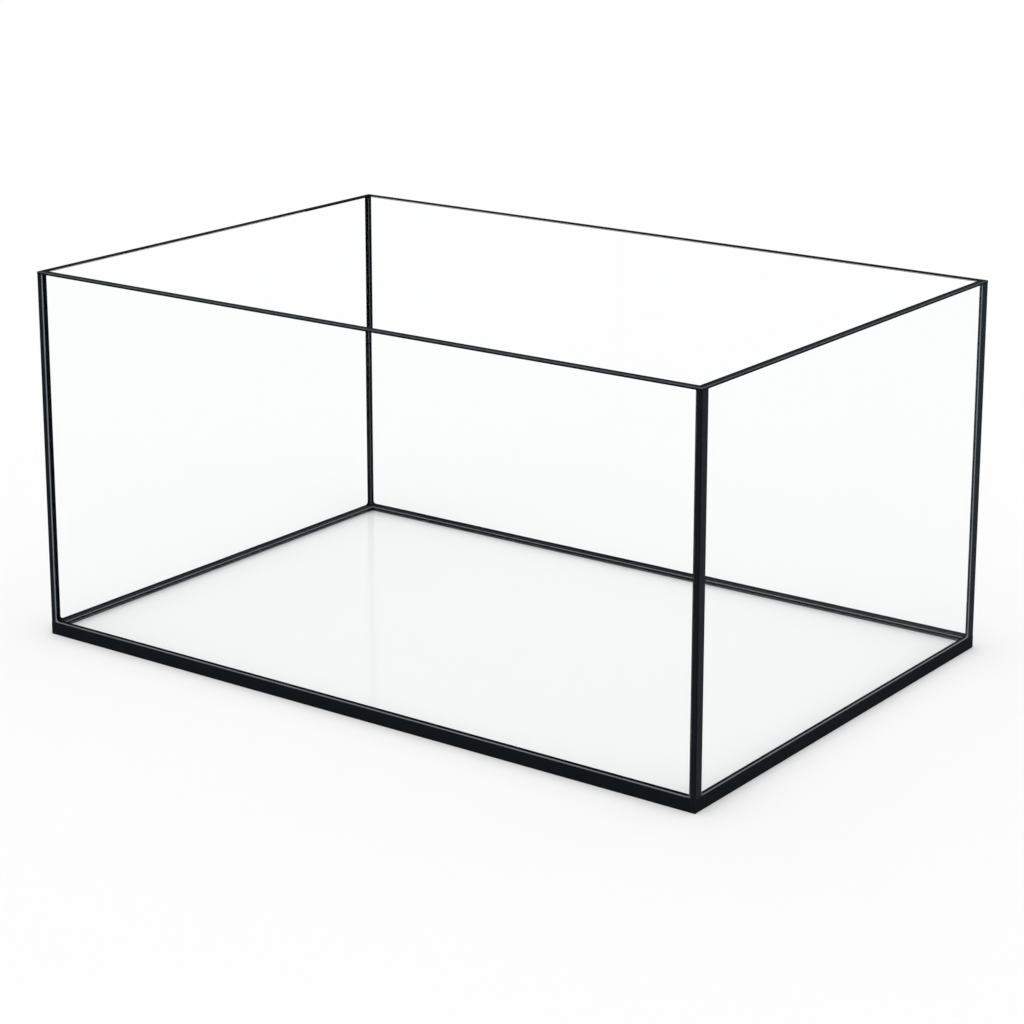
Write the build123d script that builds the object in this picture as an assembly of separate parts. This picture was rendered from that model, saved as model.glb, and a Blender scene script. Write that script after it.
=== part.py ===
from build123d import *
import os

# Open-topped glass tank: five panes bonded with black silicone, edged all round with slim black trim.
# Millimetres. Origin at the middle of the underside; +X along the long side, -Y to the front, +Z up.

# ---- driving dimensions ----
overall_width = 914.0
overall_depth = 610.0
overall_height = 445.0

trim_thickness = 1.5
arris_radius = 0.8
edge_break = 0.35

wall_glass = 6.0
bottom_glass = 10.0
glass_arris = 0.4
joint_gap = 1.0

rail_height = 15.5
rail_flange = 9.0
bedding_thickness = 1.5

angle_front_leg = 6.2
angle_side_leg = 12.0

rim_width = 8.0
rim_thickness = 1.2
rim_lip = 3.0

edge_seal_width = 1.2
edge_seal_height = 1.2
edge_seal_slope = 1.1
edge_seal_corner = 5.0

floor_bead = 4.5
corner_bead = 3.0
bead_hollow = 0.16
corner_bead_stop = 2.0

# ---- levels and insets that follow from them ----
half_width = overall_width / 2
half_depth = overall_depth / 2
glass_foot = trim_thickness + bedding_thickness
floor_level = glass_foot + bottom_glass
glass_top = overall_height - rim_thickness
rim_underside = overall_height - rim_lip
inner_face = trim_thickness + wall_glass
bottom_edge = inner_face + joint_gap
mitre_depth = 4 * rail_flange

# Each side of the tank: turn about Z from the front, half its length, distance from the middle.
sides = {
    "front": (0, half_width, half_depth),
    "right": (90, half_depth, half_width),
    "back": (180, half_width, half_depth),
    "left": (270, half_depth, half_width),
}

# Each corner of the tank: the signs of its X and Y.
corners = {
    "front_left": (-1, -1),
    "front_right": (1, -1),
    "back_right": (1, 1),
    "back_left": (-1, 1),
}

# Plan of the whole tank, with its four vertical arrises rounded.
outline = extrude(RectangleRounded(overall_width, overall_depth, arris_radius), overall_height)


def block(low, high):
    """A plain block between two opposite corners."""
    size = [b - a for a, b in zip(low, high)]
    middle = [(a + b) / 2 for a, b in zip(low, high)]
    return Pos(*middle) * Box(*size)


def turned(shape, side):
    """Turn a shape modelled on the front side to its own side."""
    return Rot(0, 0, sides[side][0]) * shape


def mitred_bar(section, side):
    """A bar along one side, cut to 45 degrees at both ends.

    section is a closed line of (inward, up) points, or a face in that plane, measured from the
    outside of the trim.
    """
    _, half_length, distance = sides[side]
    plane = Plane(origin=(-half_length, -distance, 0), x_dir=(0, 1, 0), z_dir=(1, 0, 0))
    face = section if isinstance(section, Face) else make_face(Polyline(*section, close=True))
    bar = extrude(plane * face, 2 * half_length)
    plan = Polyline(
        (-half_length, -distance),
        (half_length, -distance),
        (half_length - mitre_depth, mitre_depth - distance),
        (mitre_depth - half_length, mitre_depth - distance),
        close=True,
    )
    wedge = extrude(make_face(plan), overall_height)
    return turned(bar & wedge, side)


def rectangle_section(inward, upward):
    """A rectangular section between two inward distances and two heights."""
    return [
        (inward[0], upward[0]),
        (inward[1], upward[0]),
        (inward[1], upward[1]),
        (inward[0], upward[1]),
    ]


def fillet_section(corner, leg):
    """A tooled silicone fillet: two equal legs from a corner, closed by a hollow arc."""
    inward, up = corner
    dip = leg * (0.5 - bead_hollow)
    foot = (inward + leg, up)
    head = (inward, up + leg)
    face_line = ThreePointArc(foot, (inward + dip, up + dip), head)
    return make_face([Line(corner, foot), face_line, Line(head, corner)]).face()


def base_rail(side):
    """L-section rail: an upstand outside the glass and a flange under it."""
    section = [
        (edge_break, 0),
        (rail_flange, 0),
        (rail_flange, trim_thickness),
        (trim_thickness, trim_thickness),
        (trim_thickness, rail_height),
        (0, rail_height),
        (0, edge_break),
    ]
    return mitred_bar(section, side) & outline


def rim_strip(side):
    """L-section cap: a flat strip on the edge of the glass with a shallow lip outside it."""
    section = [
        (0, rim_underside),
        (trim_thickness, rim_underside),
        (trim_thickness, glass_top),
        (rim_width, glass_top),
        (rim_width, overall_height - edge_break),
        (rim_width - edge_break, overall_height),
        (edge_break, overall_height),
        (0, overall_height - edge_break),
    ]
    return mitred_bar(section, side) & outline


def bedding_strip(side):
    """Flat strip on the rail's flange, under the foot of the wall and the edge of the bottom."""
    section = rectangle_section((trim_thickness, rail_flange), (trim_thickness, glass_foot))
    return mitred_bar(section, side)


def bottom_joint(side):
    """Structural silicone between the edge of the bottom pane and the wall."""
    return mitred_bar(rectangle_section((inner_face, bottom_edge), (glass_foot, floor_level)), side)


def floor_fillet(side):
    """Silicone fillet along the foot of the wall, mitred into its neighbours."""
    return mitred_bar(fillet_section((inner_face, floor_level), floor_bead), side)


def glass_pane(low, high):
    """A pane with all its edges lightly ground."""
    pane = block(low, high)
    return chamfer(pane.edges(), glass_arris)


def wall_pane(side):
    """Long panes run the whole width; short panes stand between them."""
    _, half_length, distance = sides[side]
    end = half_length - (trim_thickness if side in ("front", "back") else bottom_edge)
    low = (-end, trim_thickness - distance, glass_foot)
    high = (end, inner_face - distance, glass_top)
    return turned(glass_pane(low, high), side)


def looks_into_opening(edge, half_opening, opening_height):
    """True for the edges of a seal's face that look into its opening."""
    middle = edge.position_at(0.5)
    clear_of_angles = abs(middle.X) < half_opening - edge_break
    clear_of_rail = middle.Z > rail_height + edge_break
    clear_of_rim = middle.Z < rail_height + opening_height - edge_break
    return clear_of_angles and clear_of_rail and clear_of_rim


def edge_seal(side):
    """Thin U-shaped bead on the outside of a pane, along the rail and up both corner angles."""
    _, half_length, distance = sides[side]
    leg = angle_front_leg if side in ("front", "back") else angle_side_leg
    half_opening = half_length - leg
    opening_height = rim_underside - rail_height
    glass_face = Plane(
        origin=(0, trim_thickness - distance, rail_height),
        x_dir=(1, 0, 0),
        z_dir=(0, -1, 0),
    )
    opening = Pos(0, opening_height / 2) * Rectangle(2 * half_opening, opening_height)
    clear_width = 2 * (half_opening - edge_seal_width)
    clear_height = opening_height + 2 * edge_seal_corner
    clear = Pos(0, edge_seal_width + clear_height / 2) * RectangleRounded(
        clear_width, clear_height, edge_seal_corner
    )
    seal = extrude(glass_face * (opening - clear), edge_seal_height)
    outer_face = seal.faces().sort_by(Axis.Y)[0]
    border = [
        edge for edge in outer_face.edges() if looks_into_opening(edge, half_opening, opening_height)
    ]
    return turned(chamfer(border, edge_seal_slope), side)


def at_corner(corner, low, high):
    """A block between two (inward x, inward y, z) points measured from a corner of the tank."""
    sign_x, sign_y = corners[corner]
    x_ends = sorted(sign_x * (half_width - inward) for inward in (low[0], high[0]))
    y_ends = sorted(sign_y * (half_depth - inward) for inward in (low[1], high[1]))
    return block((x_ends[0], y_ends[0], low[2]), (x_ends[1], y_ends[1], high[2]))


def corner_angle(corner):
    """L-section angle standing on the base rails, up to the lip of the rim strips."""
    front_leg = at_corner(corner, (0, 0, rail_height), (angle_front_leg, trim_thickness, rim_underside))
    side_leg = at_corner(corner, (0, 0, rail_height), (trim_thickness, angle_side_leg, rim_underside))
    return (front_leg + side_leg) & outline


def corner_joint(corner):
    """Structural silicone between the end edge of a short pane and the long pane."""
    return at_corner(
        corner,
        (trim_thickness, inner_face, glass_foot),
        (inner_face, bottom_edge, glass_top),
    )


def corner_fillet(corner, floor_fillets):
    """Upright silicone fillet in an inside corner, shaped to the floor fillets at its foot."""
    sign_x, sign_y = corners[corner]
    top = glass_top - corner_bead_stop
    section = fillet_section((0, 0), corner_bead)
    column = extrude(section, top - floor_level)
    if sign_x > 0:
        column = mirror(column, Plane.YZ)
    if sign_y > 0:
        column = mirror(column, Plane.XZ)
    foot = (sign_x * (half_width - inner_face), sign_y * (half_depth - inner_face), floor_level)
    column = Pos(*foot) * column
    for fillet_piece in floor_fillets:
        column = column - fillet_piece
    return column


nodes = {}

bottom_half_width = half_width - bottom_edge
bottom_half_depth = half_depth - bottom_edge
nodes["bottom_pane"] = glass_pane(
    (-bottom_half_width, -bottom_half_depth, glass_foot),
    (bottom_half_width, bottom_half_depth, floor_level),
)

for side in sides:
    nodes[side + "_pane"] = wall_pane(side)
    nodes[side + "_base_rail"] = base_rail(side)
    nodes[side + "_bedding_strip"] = bedding_strip(side)
    nodes[side + "_rim_strip"] = rim_strip(side)
    nodes[side + "_edge_seal"] = edge_seal(side)
    nodes[side + "_bottom_joint"] = bottom_joint(side)
    nodes[side + "_floor_fillet"] = floor_fillet(side)

floor_fillets = [nodes[side + "_floor_fillet"] for side in sides]
for corner in corners:
    nodes[corner + "_corner_angle"] = corner_angle(corner)
    nodes[corner + "_corner_joint"] = corner_joint(corner)
    nodes[corner + "_corner_fillet"] = corner_fillet(corner, floor_fillets)

os.makedirs("parts", exist_ok=True)
for name, shape in nodes.items():
    export_step(shape, "parts/" + name + ".step")
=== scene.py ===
import math
import bpy
from mathutils import Matrix, Vector, noise


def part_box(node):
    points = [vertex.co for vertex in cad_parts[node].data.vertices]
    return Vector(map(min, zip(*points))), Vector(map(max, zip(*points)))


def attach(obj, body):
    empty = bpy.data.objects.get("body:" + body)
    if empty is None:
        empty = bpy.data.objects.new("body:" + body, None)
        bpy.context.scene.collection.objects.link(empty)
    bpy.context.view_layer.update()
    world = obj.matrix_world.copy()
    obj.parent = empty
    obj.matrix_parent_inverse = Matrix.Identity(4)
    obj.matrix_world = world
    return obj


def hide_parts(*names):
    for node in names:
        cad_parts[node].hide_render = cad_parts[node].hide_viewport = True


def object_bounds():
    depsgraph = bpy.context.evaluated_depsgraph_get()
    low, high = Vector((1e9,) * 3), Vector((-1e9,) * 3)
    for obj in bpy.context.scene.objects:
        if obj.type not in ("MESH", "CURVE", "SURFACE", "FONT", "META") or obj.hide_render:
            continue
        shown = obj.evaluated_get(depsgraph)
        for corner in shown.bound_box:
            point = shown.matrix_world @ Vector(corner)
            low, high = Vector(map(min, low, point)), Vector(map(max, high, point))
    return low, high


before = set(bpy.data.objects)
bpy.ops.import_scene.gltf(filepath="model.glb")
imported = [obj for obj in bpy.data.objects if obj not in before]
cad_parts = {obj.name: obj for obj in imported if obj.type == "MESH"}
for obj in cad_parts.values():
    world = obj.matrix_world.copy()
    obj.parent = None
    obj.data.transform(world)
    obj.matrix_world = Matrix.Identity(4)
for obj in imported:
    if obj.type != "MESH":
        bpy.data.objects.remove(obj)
cad_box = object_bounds()

# ---------------------------------------------------------------------------------------------
# Glass panes
# Five sheets of clear float glass: a thick bottom, two long walls, and two short walls between
# them. Silicone holds them together, and every ground edge is under a trim or in a joint.
# ---------------------------------------------------------------------------------------------
SIDES = ("front", "right", "back", "left")
CORNERS = ("front_left", "front_right", "back_right", "back_left")
GLASS_IOR = 1.5
WALL_MIRROR_IOR = 1.1
BOTTOM_MIRROR_IOR = 1.14
WALL_TINT = (0.996, 0.999, 0.998, 1)
BOTTOM_TINT = (0.985, 1.0, 0.997, 1)
WALL_LIGHT_TINT = (0.991, 0.995, 0.994, 1)
BOTTOM_LIGHT_TINT = (1.0, 1.0, 1.0, 1)
SMEAR_SCALE = 9.0
SMEAR_DETAIL = 5.0
SMEAR_STRETCH = (1, 1, 2.5)
WALL_SMEAR = (0.0, 0.02)
BOTTOM_SMEAR = (0.06, 0.13)
NOISE_MIDDLE = (0.3, 0.7)


def new_material(name):
    """An empty node material, with its node maker and its link maker."""
    material = bpy.data.materials.new(name)
    material.use_nodes = True
    tree = material.node_tree
    tree.nodes.clear()

    def node(kind, **inputs):
        made = tree.nodes.new(kind)
        for key, value in inputs.items():
            made.inputs[key.replace("_", " ")].default_value = value
        return made

    return material, node, tree.links.new


def object_noise(node, link, scale, detail=3.0, stretch=(1, 1, 1)):
    """Noise over the piece's own coordinates, stretched along any axis."""
    place = node("ShaderNodeTexCoord")
    mapping = node("ShaderNodeMapping", Scale=stretch)
    texture = node("ShaderNodeTexNoise", Scale=scale, Detail=detail)
    link(place.outputs["Object"], mapping.inputs["Vector"])
    link(mapping.outputs["Vector"], texture.inputs["Vector"])
    return texture.outputs["Fac"]


def between(node, link, fac, limits):
    """A value that runs from one limit to the other as noise runs over the middle of its range."""
    ramp = node("ShaderNodeMapRange")
    for socket, value in zip(("From Min", "From Max", "To Min", "To Max"), (*NOISE_MIDDLE, *limits)):
        ramp.inputs[socket].default_value = value
    link(fac, ramp.inputs["Value"])
    return ramp.outputs["Result"]


def float_glass(name, tint, light_tint, mirror_ior, smear):
    """Clear glass that bends what is behind it, with a faint, slightly smeared mirror on top."""
    material, node, link = new_material(name)
    bent = node("ShaderNodeBsdfRefraction", Color=tint, IOR=GLASS_IOR)
    mirror = node("ShaderNodeBsdfAnisotropic")
    smears = object_noise(node, link, SMEAR_SCALE, SMEAR_DETAIL, SMEAR_STRETCH)
    link(between(node, link, smears, smear), mirror.inputs["Roughness"])
    glass = node("ShaderNodeMixShader")
    link(node("ShaderNodeFresnel", IOR=mirror_ior).outputs["Fac"], glass.inputs["Fac"])
    link(bent.outputs["BSDF"], glass.inputs[1])
    link(mirror.outputs["BSDF"], glass.inputs[2])
    clear = node("ShaderNodeBsdfTransparent", Color=light_tint)
    path = node("ShaderNodeLightPath")
    either = node("ShaderNodeMath")
    either.operation = "MAXIMUM"
    link(path.outputs["Is Shadow Ray"], either.inputs[0])
    link(path.outputs["Is Diffuse Ray"], either.inputs[1])
    mix = node("ShaderNodeMixShader")
    link(either.outputs[0], mix.inputs["Fac"])
    link(glass.outputs["Shader"], mix.inputs[1])
    link(clear.outputs["BSDF"], mix.inputs[2])
    link(mix.outputs["Shader"], node("ShaderNodeOutputMaterial").inputs["Surface"])
    return material


def dress(node_name, material):
    """Give a CAD node its finished material, in every slot."""
    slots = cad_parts[node_name].material_slots
    for slot in slots:
        slot.material = material


wall_glass = float_glass("wall_glass", WALL_TINT, WALL_LIGHT_TINT, WALL_MIRROR_IOR, WALL_SMEAR)
bottom_glass = float_glass(
    "bottom_glass", BOTTOM_TINT, BOTTOM_LIGHT_TINT, BOTTOM_MIRROR_IOR, BOTTOM_SMEAR
)
for side in SIDES:
    dress(side + "_pane", wall_glass)
dress("bottom_pane", bottom_glass)

# ---------------------------------------------------------------------------------------------
# Silicone joints
# The structural silicone, 1 mm thick, between the end of each short wall and the long wall, and
# round the edge of the bottom. It is squeezed flat between the panes as they are put together.
# ---------------------------------------------------------------------------------------------
SILICONE_BLACK = (0.0022, 0.0031, 0.0041, 1)
SILICONE_FADED = (0.0042, 0.0058, 0.0076, 1)
# SILICONE_PAINTED_SHEEN is a painted sheen: the pale colour laid on a piece's "pale" lines as
# painted highlights.
SILICONE_PAINTED_SHEEN = (0.180, 0.204, 0.226, 1)
SILICONE_IOR = 1.41
SILICONE_SPECULAR = 0.06
BLOTCH_SCALE = 60.0
HIGHLIGHT_BREAK_SCALE = 40.0
HIGHLIGHT_BREAK_SHARE = (0.75, 1.0)
WAVE_SCALE = 45.0
WAVE_DETAIL = 2.0
WAVE_DEPTH = 0.0006
PEBBLE_SCALE = 1800.0
PEBBLE_DETAIL = 2.0
PEBBLE_STRENGTH = 0.12
PEBBLE_DEPTH = 0.0001
JOINT_ROUGHNESS = (0.35, 0.5)
JOINT_WAVES = 0.1
LINE_DETAIL = 4.0
MIX_COLOUR_INPUTS = (6, 7)
MIX_COLOUR_OUTPUT = 2


def mixed(node, link, fac, low, high):
    """A colour between two others, either of which may be a link."""
    mix = node("ShaderNodeMix")
    mix.data_type = "RGBA"
    link(fac, mix.inputs["Factor"])
    for index, colour in zip(MIX_COLOUR_INPUTS, (low, high)):
        if isinstance(colour, tuple):
            mix.inputs[index].default_value = colour
        else:
            link(colour, mix.inputs[index])
    return mix.outputs[MIX_COLOUR_OUTPUT]


def pale_share(node, link, scale, limits):
    """How pale the finish is painted: the piece's own "pale" lines, a little broken along their
    length. On silicone they are painted highlights; on the coat they are wear, painted highlight and
    painted light.
    """
    lines = node("ShaderNodeAttribute")
    lines.attribute_name = "pale"
    broken = node("ShaderNodeMath")
    broken.operation = "MULTIPLY"
    link(lines.outputs["Fac"], broken.inputs[0])
    breaks = object_noise(node, link, scale, LINE_DETAIL)
    link(between(node, link, breaks, limits), broken.inputs[1])
    return broken.outputs[0]


def silicone(name, roughness, wave_strength):
    """Black silicone: a smooth skin with long shallow tooling ripples, a fine pebble, and painted
    highlight lines where the piece's "pale" attribute says.
    """
    material, node, link = new_material(name)
    skin = node(
        "ShaderNodeBsdfPrincipled", IOR=SILICONE_IOR, Specular_IOR_Level=SILICONE_SPECULAR
    )
    blotch = object_noise(node, link, BLOTCH_SCALE)
    colour = mixed(node, link, blotch, SILICONE_BLACK, SILICONE_FADED)
    painted_highlights = pale_share(node, link, HIGHLIGHT_BREAK_SCALE, HIGHLIGHT_BREAK_SHARE)
    link(mixed(node, link, painted_highlights, colour, SILICONE_PAINTED_SHEEN), skin.inputs["Base Color"])
    link(between(node, link, blotch, roughness), skin.inputs["Roughness"])
    waves = object_noise(node, link, WAVE_SCALE, WAVE_DETAIL)
    long_bump = node("ShaderNodeBump", Strength=wave_strength, Distance=WAVE_DEPTH)
    link(waves, long_bump.inputs["Height"])
    pebble = object_noise(node, link, PEBBLE_SCALE, PEBBLE_DETAIL)
    fine_bump = node("ShaderNodeBump", Strength=PEBBLE_STRENGTH, Distance=PEBBLE_DEPTH)
    link(pebble, fine_bump.inputs["Height"])
    link(long_bump.outputs["Normal"], fine_bump.inputs["Normal"])
    link(fine_bump.outputs["Normal"], skin.inputs["Normal"])
    link(skin.outputs["BSDF"], node("ShaderNodeOutputMaterial").inputs["Surface"])
    return material


joint_silicone = silicone("joint_silicone", JOINT_ROUGHNESS, JOINT_WAVES)
for side in SIDES:
    dress(side + "_bottom_joint", joint_silicone)
for corner in CORNERS:
    dress(corner + "_corner_joint", joint_silicone)

# ---------------------------------------------------------------------------------------------
# Silicone fillets
# The visible black seal inside the tank, run from a cartridge into the corner and drawn smooth
# with a rounded tool: a hollow bead along the foot of each wall, and a smaller one up each corner.
# ---------------------------------------------------------------------------------------------
BEAD_HOLLOW = 0.3
BEAD_RIDGE = 0.0002
# FLOOR_BEAD_HIGHLIGHTS are painted highlights: pale bands across the bead, with a slight ridge under
# the paler places.
FLOOR_BEAD_HIGHLIGHTS = (
    (0.10, 0.0),
    (0.22, 0.0),
    (0.30, 0.06),
    (0.40, 0.09),
    (0.50, 0.06),
    (0.58, 0.01),
    (0.68, 0.03),
    (0.74, 1.0),
    (0.84, 1.0),
    (0.90, 0.0),
)
# CORNER_BEAD_HIGHLIGHTS paint a pale highlight band near the wall on each corner bead.
CORNER_BEAD_HIGHLIGHTS = (
    (0.06, 0.45),
    (0.20, 0.45),
    (0.30, 0.0),
    (0.45, 0.0),
    (0.60, 0.0),
    (0.75, 0.0),
    (0.90, 0.0),
)
BEAD_STATION = 0.009
FLOOR_RIPPLE = 0.00022
CORNER_RIPPLE = 0.00014
RIPPLE_LENGTH = 0.055
BEAD_ROUGHNESS = (0.18, 0.3)
BEAD_WAVES = 0.35
floor_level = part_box("bottom_pane")[1].z
inner_inset = cad_box[1].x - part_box("right_pane")[0].x


def bar_tree():
    """Geometry Nodes that sweep a section along X, mitre its ends and ripple its free skin."""
    tree = bpy.data.node_groups.new("swept_bar", "GeometryNodeTree")
    tree.interface.new_socket("Section", in_out="INPUT", socket_type="NodeSocketGeometry")
    for name in ("Length", "Mitre", "Ripple", "Ripple Length"):
        tree.interface.new_socket(name, in_out="INPUT", socket_type="NodeSocketFloat")
    for name in ("Stations", "Seed"):
        tree.interface.new_socket(name, in_out="INPUT", socket_type="NodeSocketInt")
    tree.interface.new_socket("Finish", in_out="INPUT", socket_type="NodeSocketMaterial")
    tree.interface.new_socket("Bar", in_out="OUTPUT", socket_type="NodeSocketGeometry")
    link = tree.links.new
    given = tree.nodes.new("NodeGroupInput").outputs

    def node(kind, **settings):
        made = tree.nodes.new(kind)
        for key, value in settings.items():
            setattr(made, key, value)
        return made

    def maths(operation, first, second):
        made = node("ShaderNodeMath", operation=operation)
        for socket, value in zip(made.inputs, (first, second)):
            if isinstance(value, (int, float)):
                socket.default_value = value
            else:
                link(value, socket)
        return made.outputs[0]

    def vector(x, y, z):
        made = node("ShaderNodeCombineXYZ")
        for socket, value in zip(made.inputs, (x, y, z)):
            if isinstance(value, (int, float)):
                socket.default_value = value
            else:
                link(value, socket)
        return made.outputs[0]

    section = node("GeometryNodeMeshToCurve")
    link(given["Section"], section.inputs["Mesh"])
    upright = node("GeometryNodeTransform")
    upright.inputs["Rotation"].default_value = (0, 0, math.pi)
    link(section.outputs["Curve"], upright.inputs["Geometry"])

    half = maths("MULTIPLY", given["Length"], 0.5)
    line = node("GeometryNodeCurvePrimitiveLine")
    link(vector(maths("MULTIPLY", half, -1.0), 0.0, 0.0), line.inputs["Start"])
    link(vector(half, 0.0, 0.0), line.inputs["End"])
    divided = node("GeometryNodeResampleCurve")
    link(line.outputs["Curve"], divided.inputs["Curve"])
    link(given["Stations"], divided.inputs["Count"])
    level = node("GeometryNodeSetCurveNormal", mode="Z_UP")
    link(divided.outputs["Curve"], level.inputs["Curve"])
    sweep = node("GeometryNodeCurveToMesh")
    sweep.inputs["Fill Caps"].default_value = True
    link(level.outputs["Curve"], sweep.inputs["Curve"])
    link(upright.outputs["Geometry"], sweep.inputs["Profile Curve"])

    place = node("ShaderNodeSeparateXYZ")
    link(node("GeometryNodeInputPosition").outputs["Position"], place.inputs["Vector"])
    share = maths("DIVIDE", place.outputs["X"], half)
    inward = maths("MULTIPLY", maths("MULTIPLY", share, place.outputs["Y"]), given["Mitre"])
    skin = node("GeometryNodeInputNamedAttribute", data_type="FLOAT")
    skin.inputs["Name"].default_value = "skin"
    wave = node("ShaderNodeTexNoise", noise_dimensions="2D")
    wave.inputs["Scale"].default_value = 1.0
    wave.inputs["Detail"].default_value = 1.0
    waved = vector(maths("DIVIDE", place.outputs["X"], given["Ripple Length"]), given["Seed"], 0.0)
    link(waved, wave.inputs["Vector"])
    swell = maths("MULTIPLY", maths("SUBTRACT", wave.outputs["Fac"], 0.5), given["Ripple"])
    swell = maths("MULTIPLY", swell, skin.outputs["Attribute"])
    move = node("GeometryNodeSetPosition")
    link(sweep.outputs["Mesh"], move.inputs["Geometry"])
    link(vector(maths("MULTIPLY", inward, -1.0), swell, swell), move.inputs["Offset"])
    finish = node("GeometryNodeSetMaterial")
    link(move.outputs["Geometry"], finish.inputs["Geometry"])
    link(given["Finish"], finish.inputs["Material"])
    realized = node("GeometryNodeRealizeInstances")
    link(finish.outputs["Geometry"], realized.inputs["Geometry"])
    link(realized.outputs["Geometry"], node("NodeGroupOutput").inputs["Bar"])
    return tree


SWEPT_BAR = bar_tree()
SMOOTH_ANGLE = math.radians(40)


def plain_mesh(name, mesh, material=None):
    """A finished piece at the origin, smooth over its rounded edges and sharp at its ends."""
    if material is not None:
        mesh.materials.append(material)
    mesh.shade_smooth()
    mesh.set_sharp_from_angle(angle=SMOOTH_ANGLE)
    piece = bpy.data.objects.new(name, mesh)
    bpy.context.collection.objects.link(piece)
    return piece


def swept_bar(name, section, place, finish, **inputs):
    """Sweep a section of (inward, up, pale, skin) points and put the bar in its place."""
    outline = bpy.data.meshes.new(name + "_section")
    count = len(section)
    points = [(inward, up, 0) for inward, up, _, _ in section]
    outline.from_pydata(points, [(i, (i + 1) % count) for i in range(count)], [])
    for which, label in ((2, "pale"), (3, "skin")):
        marks = outline.attributes.new(label, "FLOAT", "POINT")
        marks.data.foreach_set("value", [float(point[which]) for point in section])
    former = bpy.data.objects.new(name + "_former", outline)
    bpy.context.collection.objects.link(former)
    sweep = former.modifiers.new("sweep", "NODES")
    sweep.node_group = SWEPT_BAR
    given = {"Mitre": 1.0, "Stations": 2, "Ripple": 0.0, "Ripple Length": RIPPLE_LENGTH, "Seed": 0}
    given.update(inputs, Finish=finish)
    for socket in SWEPT_BAR.interface.items_tree:
        if socket.in_out == "INPUT" and socket.name in given:
            sweep[socket.identifier] = given[socket.name]
    graph = bpy.context.evaluated_depsgraph_get()
    mesh = bpy.data.meshes.new_from_object(former.evaluated_get(graph), depsgraph=graph)
    bpy.data.objects.remove(former)
    mesh.transform(place)
    return plain_mesh(name, mesh)


def fillet_section(leg, lines):
    """A hollow bead in a right-angled corner, with a ridge where its lines are pale.

    Its free skin may ripple, and its two backs stay flat. The lines say how pale the skin is painted
    at each share of the way down from the wall to the floor: painted highlight bands.
    """
    section = [(0.0, 0.0, 0, 0), (leg, 0.0, 0, 0)]
    for share, pale in reversed(lines):
        skin = math.sin(math.pi * share)
        dip = BEAD_HOLLOW * skin * leg / 2 - BEAD_RIDGE * pale
        section.append((leg * share - dip, leg * (1 - share) - dip, pale, skin))
    section.append((0.0, leg, 0, 0))
    return section


def side_place(side, inset, height):
    """Where a bar along one side goes: X along it, Y inward from the inset line, Z up."""
    turn = SIDES.index(side) * math.pi / 2
    width, depth = cad_box[1].x, -cad_box[0].y
    distance = (depth if side in ("front", "back") else width) - inset
    return Matrix.Rotation(turn, 4, "Z") @ Matrix.Translation((0, -distance, height))


def side_length(side, inset):
    """Length between two inset lines of one side."""
    full = 2 * cad_box[1].x if side in ("front", "back") else -2 * cad_box[0].y
    return full - 2 * inset


def corner_place(corner, inset, height):
    """Where a bar up one corner goes, and the signs that turn its section into that corner."""
    sign_x = 1 if corner.endswith("right") else -1
    sign_y = 1 if corner.startswith("back") else -1
    upright = Matrix(((0, 1, 0, 0), (0, 0, 1, 0), (1, 0, 0, 0), (0, 0, 0, 1)))
    at = Vector((sign_x * (cad_box[1].x - inset), sign_y * (-cad_box[0].y - inset), height))
    return Matrix.Translation(at) @ upright, -sign_x, -sign_y


def cornered(section, sign_x, sign_y):
    """The section turned into a corner, still running anticlockwise."""
    turned = [(sign_x * inward, sign_y * up, pale, skin) for inward, up, pale, skin in section]
    return turned if sign_x * sign_y > 0 else turned[::-1]


def finished(piece, replaced):
    """Fix a piece to the tank in the place of its CAD node."""
    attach(piece, "root")
    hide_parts(replaced)


bead_silicone = silicone("bead_silicone", BEAD_ROUGHNESS, BEAD_WAVES)
for seed, side in enumerate(SIDES):
    bead_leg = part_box(side + "_floor_fillet")[1].z - floor_level
    length = side_length(side, inner_inset)
    bead = swept_bar(
        "floor_bead_" + side,
        fillet_section(bead_leg, FLOOR_BEAD_HIGHLIGHTS),
        side_place(side, inner_inset, floor_level),
        bead_silicone,
        Length=length,
        Stations=int(length / BEAD_STATION),
        Ripple=FLOOR_RIPPLE,
        Seed=seed,
    )
    finished(bead, side + "_floor_fillet")

for seed, corner in enumerate(CORNERS):
    low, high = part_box(corner + "_corner_fillet")
    bead_leg = high.x - low.x
    length = high.z - floor_level
    place, sign_x, sign_y = corner_place(corner, inner_inset, floor_level + length / 2)
    bead = swept_bar(
        "corner_bead_" + corner,
        cornered(fillet_section(bead_leg, CORNER_BEAD_HIGHLIGHTS), sign_x, sign_y),
        place,
        bead_silicone,
        Length=length,
        Mitre=0.0,
        Stations=int(length / BEAD_STATION),
        Ripple=CORNER_RIPPLE,
        Seed=seed + len(SIDES),
    )
    finished(bead, corner + "_corner_fillet")

# ---------------------------------------------------------------------------------------------
# Bedding strips
# Flat matt rubber strips that lie on the flanges of the base rails, so that no glass edge rests
# on metal. They are cut to a mitre and held by the weight of the tank.
# ---------------------------------------------------------------------------------------------
BEDDING_DARK = (0.0050, 0.0062, 0.0074, 1)
BEDDING_DUSTY = (0.0110, 0.0130, 0.0150, 1)
BEDDING_ROUGHNESS = 0.85
GRAIN_SCALE = 900.0
GRAIN_STRENGTH = 0.5
GRAIN_DEPTH = 0.0002


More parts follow.
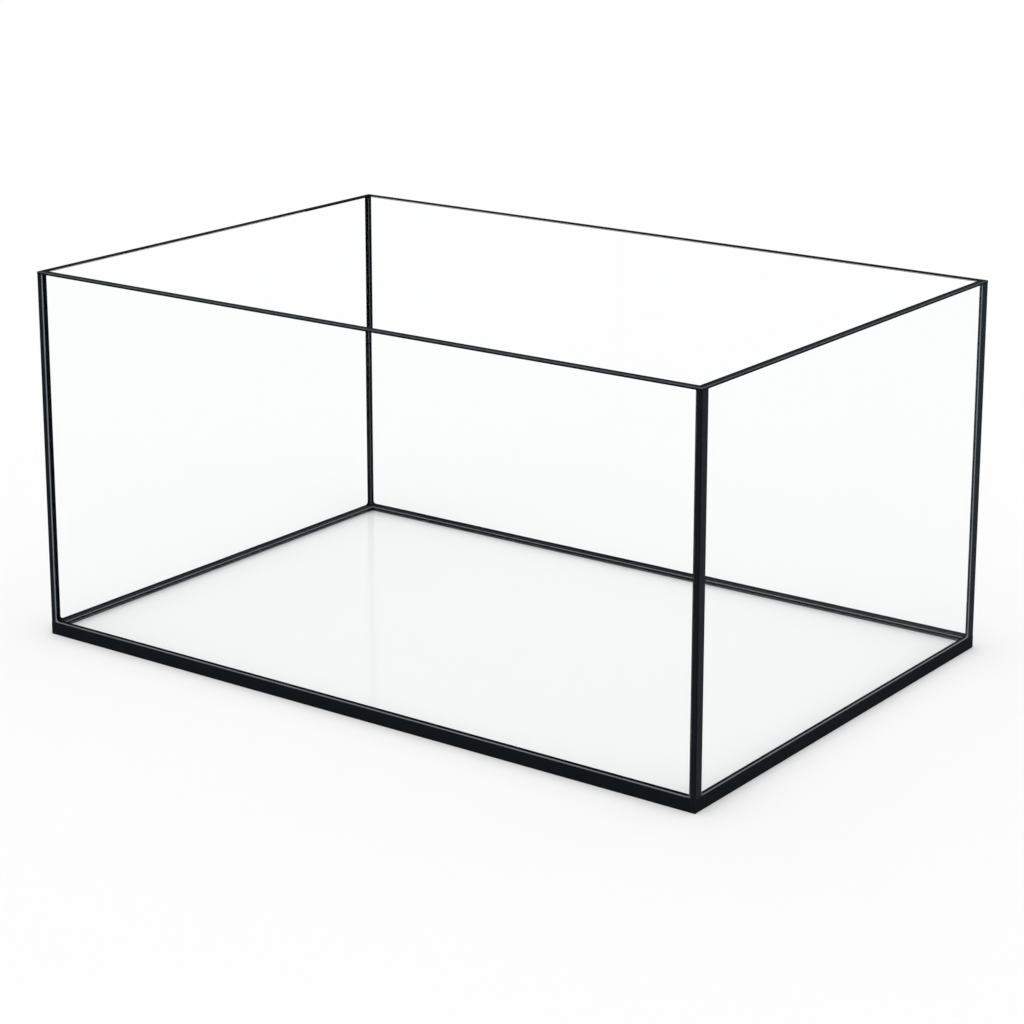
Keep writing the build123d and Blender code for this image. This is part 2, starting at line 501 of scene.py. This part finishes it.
def bedding_rubber():
    """Dull cellular rubber with a close grain."""
    material, node, link = new_material("bedding_rubber")
    rubber = node("ShaderNodeBsdfPrincipled", Roughness=BEDDING_ROUGHNESS)
    grain = object_noise(node, link, GRAIN_SCALE)
    link(mixed(node, link, grain, BEDDING_DARK, BEDDING_DUSTY), rubber.inputs["Base Color"])
    bump = node("ShaderNodeBump", Strength=GRAIN_STRENGTH, Distance=GRAIN_DEPTH)
    link(grain, bump.inputs["Height"])
    link(bump.outputs["Normal"], rubber.inputs["Normal"])
    link(rubber.outputs["BSDF"], node("ShaderNodeOutputMaterial").inputs["Surface"])
    return material


rubber = bedding_rubber()
for side in SIDES:
    dress(side + "_bedding_strip", rubber)

# ---------------------------------------------------------------------------------------------
# Base rails
# Four L-section rails of thin metal, powder coated satin black, mitred at the corners. The
# upstand stands outside the foot of the glass, and the flange under it carries the whole tank.
# ---------------------------------------------------------------------------------------------
COAT_BLACK = (0.0033, 0.0045, 0.0057, 1)
COAT_GREY = (0.0045, 0.0059, 0.0073, 1)
# COAT_WEAR_AND_HIGHLIGHT is the pale colour on the coat's "pale" lines: painted highlights on the
# arrises with some wear, and painted light on the angles' legs.
COAT_WEAR_AND_HIGHLIGHT = (0.094, 0.110, 0.124, 1)
COAT_IOR = 1.5
COAT_SPECULAR = 0.02
COAT_ROUGHNESS = (0.62, 0.76)
CLOUD_SCALE = 14.0
CLOUD_DETAIL = 4.0
PALE_BREAK_SCALE = 130.0
PALE_BREAK_SHARE = (0.6, 1.0)
PEEL_SCALE = 850.0
PEEL_DETAIL = 2.0
PEEL_STRENGTH = 0.18
PEEL_DEPTH = 0.00008
RAIL_ARRIS = 0.0005
# ARRIS_WEAR_AND_HIGHLIGHT pales the outer arrises of the rails and the angle legs: partly wear,
# partly a painted highlight line.
ARRIS_WEAR_AND_HIGHLIGHT = 0.06
# RAIL_FACE_LIFT makes the whole outer face of each rail a little paler, evenly.
RAIL_FACE_LIFT = 0.02
HAIRLINE = 0.00006
ROUND_STEPS = 4
ROUND_SUPPORT = 0.0003


def powder_coat():
    """Satin black powder coat: a faint orange peel, cloudy gloss, and pale arrises and leg faces
    that are partly wear and partly painted highlight and painted light.
    """
    material, node, link = new_material("black_powder_coat")
    coat = node("ShaderNodeBsdfPrincipled", IOR=COAT_IOR, Specular_IOR_Level=COAT_SPECULAR)
    cloud = object_noise(node, link, CLOUD_SCALE, CLOUD_DETAIL)
    tone = mixed(node, link, cloud, COAT_BLACK, COAT_GREY)
    wear_and_highlight = pale_share(node, link, PALE_BREAK_SCALE, PALE_BREAK_SHARE)
    link(mixed(node, link, wear_and_highlight, tone, COAT_WEAR_AND_HIGHLIGHT), coat.inputs["Base Color"])
    link(between(node, link, cloud, COAT_ROUGHNESS), coat.inputs["Roughness"])
    peel = object_noise(node, link, PEEL_SCALE, PEEL_DETAIL)
    bump = node("ShaderNodeBump", Strength=PEEL_STRENGTH, Distance=PEEL_DEPTH)
    link(peel, bump.inputs["Height"])
    link(bump.outputs["Normal"], coat.inputs["Normal"])
    link(coat.outputs["BSDF"], node("ShaderNodeOutputMaterial").inputs["Surface"])
    return material


def rounded_section(corners):
    """A closed section, anticlockwise, from (inward, up, radius, pale arris, pale flat) corners.

    The last value says how pale the coat is painted on the flat that follows the corner: painted
    light on the angles' legs, an even lift on the rails' outer faces.
    """
    section = []
    for index, (x, y, radius, pale, flat_pale) in enumerate(corners):
        here = Vector((x, y))
        before = (Vector(corners[index - 1][:2]) - here).normalized()
        after = (Vector(corners[(index + 1) % len(corners)][:2]) - here).normalized()
        if not radius:
            section.append((x, y, 0, 0))
            continue
        half_angle = before.angle(after) / 2
        reach = radius / math.tan(half_angle)
        start = here + before * reach
        centre = here + (before + after).normalized() * radius / math.sin(half_angle)
        flat_pale_before = corners[index - 1][-1]
        section.append((*(here + before * (reach + ROUND_SUPPORT)), flat_pale_before, 0))
        sweep = (start - centre).angle_signed(here + after * reach - centre)
        for step in range(ROUND_STEPS + 1):
            turn = Matrix.Rotation(-sweep * step / ROUND_STEPS, 2)
            section.append((*(centre + turn @ (start - centre)), pale, 0))
        section.append((*(here + after * (reach + ROUND_SUPPORT)), flat_pale, 0))
    return section


black_coat = powder_coat()
front_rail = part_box("front_base_rail")
rail_height = front_rail[1].z
rail_flange = front_rail[1].y - front_rail[0].y
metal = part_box("front_bedding_strip")[0].z
rail_section = rounded_section(
    [
        (0.0, 0.0, RAIL_ARRIS, ARRIS_WEAR_AND_HIGHLIGHT, 0.0),
        (rail_flange, 0.0, RAIL_ARRIS, 0.0, 0.0),
        (rail_flange, metal, RAIL_ARRIS, 0.0, 0.0),
        (metal, metal, 0.0, 0.0, 0.0),
        (metal, rail_height, RAIL_ARRIS, 0.0, 0.0),
        (0.0, rail_height, RAIL_ARRIS, ARRIS_WEAR_AND_HIGHLIGHT, RAIL_FACE_LIFT),
    ]
)
for side in SIDES:
    rail = swept_bar(
        "base_rail_" + side,
        rail_section,
        side_place(side, 0.0, 0.0),
        black_coat,
        Length=side_length(side, HAIRLINE),
    )
    finished(rail, side + "_base_rail")

# ---------------------------------------------------------------------------------------------
# Corner angles
# Unequal metal angles bonded up the four corners, in the same black coat, and standing on the
# rails. The wide leg lies on the short wall, where it has the long wall's edge to cover too.
# ---------------------------------------------------------------------------------------------
ANGLE_ARRIS = 0.0008
# Painted light: the angles' leg faces are painted paler, the leg on the short wall much more than
# the one on the long wall, as that side takes more light.
FRONT_LEG_PAINTED_LIGHT = 0.04
SIDE_LEG_PAINTED_LIGHT = 0.15
for corner in CORNERS:
    low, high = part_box(corner + "_corner_angle")
    leg_x, leg_y = high.x - low.x, high.y - low.y
    length = high.z - low.z - 2 * HAIRLINE
    place, sign_x, sign_y = corner_place(corner, 0.0, (low.z + high.z) / 2)
    section = rounded_section(
        [
            (0.0, 0.0, ANGLE_ARRIS, 0.0, FRONT_LEG_PAINTED_LIGHT),
            (leg_x, 0.0, RAIL_ARRIS, ARRIS_WEAR_AND_HIGHLIGHT, 0.0),
            (leg_x, metal, 0.0, 0.0, 0.0),
            (metal, metal, 0.0, 0.0, 0.0),
            (metal, leg_y, 0.0, 0.0, 0.0),
            (0.0, leg_y, RAIL_ARRIS, ARRIS_WEAR_AND_HIGHLIGHT, SIDE_LEG_PAINTED_LIGHT),
        ]
    )
    angle = swept_bar(
        "corner_angle_" + corner,
        cornered(section, sign_x, sign_y),
        place,
        black_coat,
        Length=length,
        Mitre=0.0,
    )
    finished(angle, corner + "_corner_angle")

# ---------------------------------------------------------------------------------------------
# Edge seals
# A thin bead of silicone on the outside of each pane, in the step between the glass and the
# trims. It runs down one corner angle, round a small corner, along the rail and up the other.
# ---------------------------------------------------------------------------------------------
SEAL_CORNER = 0.005
SEAL_WIDTH = 0.0012
SEAL_ARC_STEPS = 10
SEAL_STATION = 0.012
SEAL_STEPS = 6
SEAL_FOOT = 0.00004
SEAL_SWELL = 1.2
# SEAL_PAINTED_HIGHLIGHT and SEAL_END_PAINTED_HIGHLIGHT are painted highlights: a pale colour along
# the seal's crest, set brighter or dimmer at each end of each side as the light falls there.
SEAL_PAINTED_HIGHLIGHT = 0.75
SEAL_END_PAINTED_HIGHLIGHT = {
    "front": (1.0, 0.05),
    "right": (0.15, 0.9),
    "back": (0.6, 0.6),
    "left": (0.6, 0.6),
}
SEAL_DRIFT = 0.12
DRIFT_SCALE = 30
DRIFT_SEED_SCALE = 50
SEAL_ROUGHNESS = (0.2, 0.32)
SEAL_WAVES = 0.25


def seal_path(half_opening, height):
    """Points on the trims and on the glass, from one top end round to the other.

    The third value runs from 0 on the upright ends to 1 along the rail.
    """
    reach = SEAL_WIDTH + SEAL_CORNER
    rise = int((height - reach) / SEAL_STATION)
    run = int((2 * half_opening - 2 * reach) / SEAL_STATION)
    pairs = []
    for step in range(rise):
        up = height - (height - reach) * step / rise
        pairs.append(((-half_opening, up), (-half_opening + SEAL_WIDTH, up), 0.0))
    for step in range(SEAL_ARC_STEPS + 1):
        share = step / SEAL_ARC_STEPS
        turn = share * math.pi / 2
        inner = (
            -half_opening + reach - SEAL_CORNER * math.cos(turn),
            reach - SEAL_CORNER * math.sin(turn),
        )
        down = reach * max(0.0, 1 - math.tan(turn))
        over = reach * max(0.0, 1 - math.tan(math.pi / 2 - turn))
        pairs.append(((-half_opening + over, down), inner, share))
    for step in range(1, run):
        along = -half_opening + reach + (2 * half_opening - 2 * reach) * step / run
        pairs.append(((along, 0.0), (along, SEAL_WIDTH), 1.0))
    turned = pairs[: rise + SEAL_ARC_STEPS + 1]
    mirrored = [((-a[0], a[1]), (-b[0], b[1]), low) for a, b, low in turned]
    return pairs + mirrored[::-1]


def edge_seal(name, half_opening, height, thickness, end_highlight, place, material):
    """Loft the hollow bead between the two lines, with its back flat on the glass and a painted
    highlight along its crest.
    """
    rings = []
    seal_highlight = []
    for on_trim, on_glass, low in seal_path(half_opening, height):
        trim, glass = Vector(on_trim), Vector(on_glass)
        spot = (trim.x * DRIFT_SCALE, trim.y * DRIFT_SCALE, half_opening * DRIFT_SEED_SCALE)
        drift = noise.noise(Vector(spot)) * SEAL_DRIFT
        ring = [Vector((trim.x, 0.0, trim.y))]
        for step in range(SEAL_STEPS + 1):
            share = step / SEAL_STEPS
            across = trim.lerp(glass, share * (1 + drift * share))
            lift = thickness * (1 - share**SEAL_SWELL) + SEAL_FOOT
            ring.append(Vector((across.x, -min(lift, thickness), across.y)))
        ring.append(Vector((across.x, 0.0, across.y)))
        rings.append(ring)
        end = end_highlight[0] if trim.x < 0 else end_highlight[1]
        crest_highlight = end + (SEAL_PAINTED_HIGHLIGHT - end) * low
        seal_highlight += [0.0] + [crest_highlight * (0 < step < SEAL_STEPS) for step in range(SEAL_STEPS + 1)] + [0.0]
    size = len(rings[0])
    points = [point for ring in rings for point in ring]
    faces = []
    for row in range(len(rings) - 1):
        for column in range(size):
            a, b = row * size + column, row * size + (column + 1) % size
            faces.append((a, a + size, b + size, b))
    faces.append(tuple(range(size)))
    faces.append(tuple(len(points) - 1 - column for column in range(size)))
    mesh = bpy.data.meshes.new(name)
    mesh.from_pydata(points, [], faces)
    pale = mesh.attributes.new("pale", "FLOAT", "POINT")
    pale.data.foreach_set("value", seal_highlight)
    mesh.transform(place)
    return plain_mesh(name, mesh, material)


seal_silicone = silicone("seal_silicone", SEAL_ROUGHNESS, SEAL_WAVES)
for side in SIDES:
    low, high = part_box(side + "_edge_seal")
    half_opening = (high.x - low.x if side in ("front", "back") else high.y - low.y) / 2
    thickness = high.y - low.y if side in ("front", "back") else high.x - low.x
    seal = edge_seal(
        "edge_seal_" + side,
        half_opening,
        high.z - low.z,
        thickness,
        SEAL_END_PAINTED_HIGHLIGHT[side],
        side_place(side, metal, low.z),
        seal_silicone,
    )
    finished(seal, side + "_edge_seal")

# ---------------------------------------------------------------------------------------------
# Rim strips
# Slim L-section metal strips bonded on the top edges of the glass, mitred at the corners. The
# flat covers the edge of the pane, and the shallow lip outside it meets the corner angles.
# ---------------------------------------------------------------------------------------------
RIM_ARRIS = 0.001
# RIM_ARRIS_HIGHLIGHT is a painted highlight: a pale line along the lip's outer top arris.
RIM_ARRIS_HIGHLIGHT = 0.7
low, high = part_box("front_rim_strip")
strip_width = high.y - low.y
lip = high.z - low.z
glass_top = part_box("front_pane")[1].z - low.z
rim_section = rounded_section(
    [
        (0.0, 0.0, 0.0, 0.0, 0.0),
        (metal, 0.0, 0.0, 0.0, 0.0),
        (metal, glass_top, 0.0, 0.0, 0.0),
        (strip_width, glass_top, 0.0, 0.0, 0.0),
        (strip_width, lip, RAIL_ARRIS, 0.0, 0.0),
        (0.0, lip, RIM_ARRIS, RIM_ARRIS_HIGHLIGHT, 0.0),
    ]
)
for side in SIDES:
    strip = swept_bar(
        "rim_strip_" + side,
        rim_section,
        side_place(side, 0.0, low.z),
        black_coat,
        Length=side_length(side, HAIRLINE),
    )
    finished(strip, side + "_rim_strip")

# ---------------------------------------------------------------------------------------------
# Floor, light and camera
# A plain pale studio floor under a broad white light, with a soft lamp almost overhead and a
# little to the front and the right. It is the setting only, and no part of the tank.
# ---------------------------------------------------------------------------------------------
FLOOR_HALF = 60.0
FLOOR_WHITE = (0.808, 0.807, 0.807, 1)
FLOOR_SPECK = (0.802, 0.801, 0.801, 1)
FLOOR_ROUGHNESS = 0.9
MOTTLE_SCALE = 2.0
STUDIO_WHITE = (1.0, 1.0, 1.0, 1)
STUDIO_STRENGTH = 1.0
LAMP_STRENGTH = 0.80
LAMP_ANGLE = math.radians(55)
LAMP_DIRECTION = (math.radians(24), 0.0, math.radians(20))


def studio_floor():
    """Matt off-white paper with the faintest mottle."""
    material, node, link = new_material("studio_floor")
    paper = node("ShaderNodeBsdfPrincipled", Roughness=FLOOR_ROUGHNESS, Specular_IOR_Level=0.0)
    mottle = object_noise(node, link, MOTTLE_SCALE)
    link(mixed(node, link, mottle, FLOOR_WHITE, FLOOR_SPECK), paper.inputs["Base Color"])
    link(paper.outputs["BSDF"], node("ShaderNodeOutputMaterial").inputs["Surface"])
    return material


floor_mesh = bpy.data.meshes.new("studio_floor")
floor_mesh.from_pydata(
    [(x * FLOOR_HALF, y * FLOOR_HALF, 0.0) for x, y in ((-1, -1), (1, -1), (1, 1), (-1, 1))],
    [],
    [(0, 1, 2, 3)],
)
floor_mesh.materials.append(studio_floor())
floor = bpy.data.objects.new("studio_floor", floor_mesh)
bpy.context.collection.objects.link(floor)

world = bpy.data.worlds.new("studio")
world.use_nodes = True
background = world.node_tree.nodes["Background"]
background.inputs["Color"].default_value = STUDIO_WHITE
background.inputs["Strength"].default_value = STUDIO_STRENGTH
bpy.context.scene.world = world

lamp_data = bpy.data.lights.new("soft_lamp", "SUN")
lamp_data.energy = LAMP_STRENGTH
lamp_data.angle = LAMP_ANGLE
lamp = bpy.data.objects.new("soft_lamp", lamp_data)
lamp.rotation_euler = LAMP_DIRECTION
bpy.context.collection.objects.link(lamp)

CAMERA_PLACE = (1.833, -2.495, 1.115)
CAMERA_TURN = math.radians(36.24)
CAMERA_DIP = math.radians(13.94)
CAMERA_LENS = 96.47
CAMERA_SHIFT = -0.15
SENSOR_WIDTH = 36.0
camera_data = bpy.data.cameras.new("camera")
camera_data.sensor_width = SENSOR_WIDTH
camera_data.lens = CAMERA_LENS
camera_data.shift_y = CAMERA_SHIFT
camera = bpy.data.objects.new("camera", camera_data)
camera.location = CAMERA_PLACE
camera.rotation_euler = (math.pi / 2 - CAMERA_DIP, 0.0, CAMERA_TURN)
bpy.context.collection.objects.link(camera)
bpy.context.scene.camera = camera
bpy.context.scene.view_settings.view_transform = "Standard"
